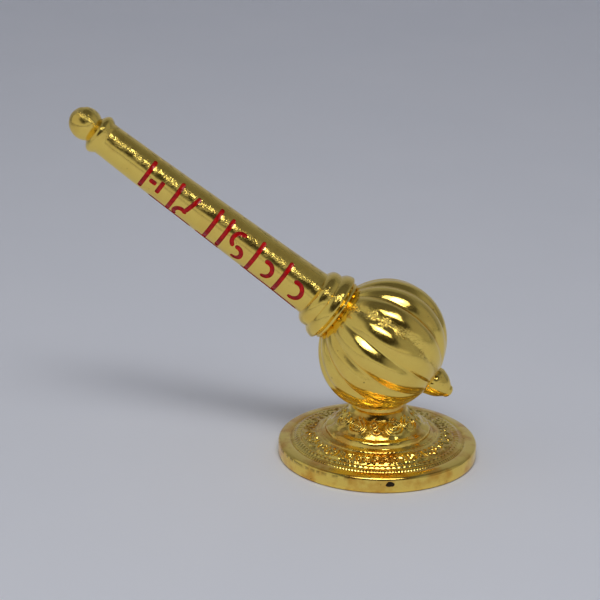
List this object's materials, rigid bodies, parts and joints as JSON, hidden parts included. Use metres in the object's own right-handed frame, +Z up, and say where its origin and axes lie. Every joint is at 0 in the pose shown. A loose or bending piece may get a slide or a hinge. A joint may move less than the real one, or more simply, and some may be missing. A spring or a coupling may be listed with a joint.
{
  "type": "ceremonial mace souvenir",
  "caption": "Small gilded club mace with a fluted ball head and tapered grip, leaning on a round ornamented foot; stands on a desk or dashboard as a devotional ornament.",
  "frame": {"origin": "centre of the round foot's flat underside", "axes": "+Z up; the mace lies in the XZ plane, its pointed finial dips towards +X and its grip rises towards -X; the engraved strokes face -Y"},
  "size_m": [0.103, 0.05, 0.0868],
  "materials": {
    "gilded_metal": "bright gold plate over cast zinc, with small casting pits; the engraved strokes on the grip are filled with dark red enamel"
  },
  "bodies": {
    "root": {"mace": "gilded_metal", "base": "gilded_metal"}
  },
  "joints": []
}
